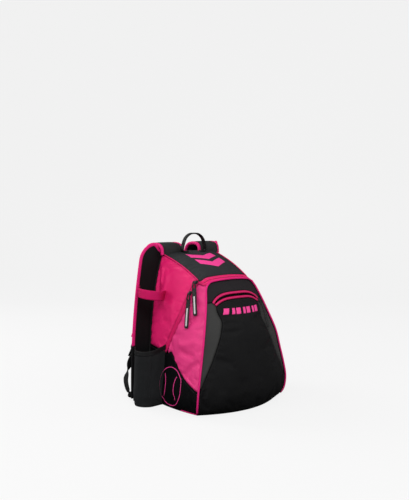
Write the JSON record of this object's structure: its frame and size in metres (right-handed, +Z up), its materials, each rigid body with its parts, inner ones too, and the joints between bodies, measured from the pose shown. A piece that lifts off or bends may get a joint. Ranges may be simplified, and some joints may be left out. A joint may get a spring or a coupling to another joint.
{
  "type": "baseball bat backpack",
  "caption": "Stuffed sports backpack with an arched zip, a front pocket, open mesh sleeves and elastic straps for bats at its sides, padded shoulder straps and a carrying loop.",
  "frame": {"origin": "on the underside of the flat base panel, in the bag's mirror plane, 131 mm in front of the back panel's front face", "axes": "+Z up; the front pocket faces -Y and the shoulder straps are on the +Y side; X runs across the bag, with the two zip pulls on the -X side"},
  "size_m": [0.4686, 0.3615, 0.4812],
  "materials": {
    "charcoal_cloth": "woven, matte",
    "pink_coated_cloth": "coated weave, satin",
    "light_pink_cloth": "woven, matte",
    "black_cloth": "woven, matte",
    "black_lining": "plain lining, matte",
    "pink_binding_tape": "ribbed binding tape, matte",
    "black_padded_mesh": "air mesh over foam, matte",
    "black_net": "open net, matte",
    "pink_elastic": "ribbed elastic, matte",
    "black_plastic": "moulded, satin",
    "black_webbing": "woven webbing, matte",
    "black_pull_tape": "moulded tape, matte"
  },
  "bodies": {
    "root": {"top_panel": "charcoal_cloth", "side_panel_right": "pink_coated_cloth", "side_panel_left": "pink_coated_cloth", "front_gusset_right": "light_pink_cloth", "front_gusset_left": "light_pink_cloth", "lower_side_right": "black_cloth", "lower_side_left": "black_cloth", "main_zip": "pink_coated_cloth", "front_pocket": "black_cloth", "front_wedge_right": "charcoal_cloth", "front_wedge_left": "charcoal_cloth", "front_upper_panel": "charcoal_cloth", "pocket_lip_lower": "pink_coated_cloth", "pocket_lip_upper": "pink_coated_cloth", "pocket_back": "black_lining", "base_panel": "black_cloth", "front_piping": "pink_binding_tape", "top_piping_right": "pink_coated_cloth", "top_piping_left": "pink_coated_cloth", "back_panel": "black_padded_mesh", "wing_right": "black_cloth", "wing_binding_right": "pink_binding_tape", "wing_left": "black_cloth", "wing_binding_left": "pink_binding_tape", "bat_sleeve_right": "black_net", "bat_sleeve_left": "black_net", "sleeve_floor_right": "black_cloth", "sleeve_floor_left": "black_cloth", "bat_strap_right": "pink_elastic", "bat_strap_left": "pink_elastic", "shoulder_strap_right": "black_padded_mesh", "shoulder_strap_left": "black_padded_mesh", "strap_binding_inner_right": "pink_binding_tape", "strap_binding_inner_left": "pink_binding_tape", "strap_binding_outer_right": "pink_binding_tape", "strap_binding_outer_left": "pink_binding_tape", "ladder_lock_right": "black_plastic", "ladder_lock_left": "black_plastic", "lower_webbing_right": "black_webbing", "lower_webbing_left": "black_webbing", "carrying_loop": "black_webbing", "zip_slider_upper": "black_plastic", "zip_pull_upper": "black_pull_tape", "zip_slider_lower": "black_plastic", "zip_pull_lower": "black_pull_tape", "pocket_pull": "black_pull_tape"}
  },
  "joints": []
}
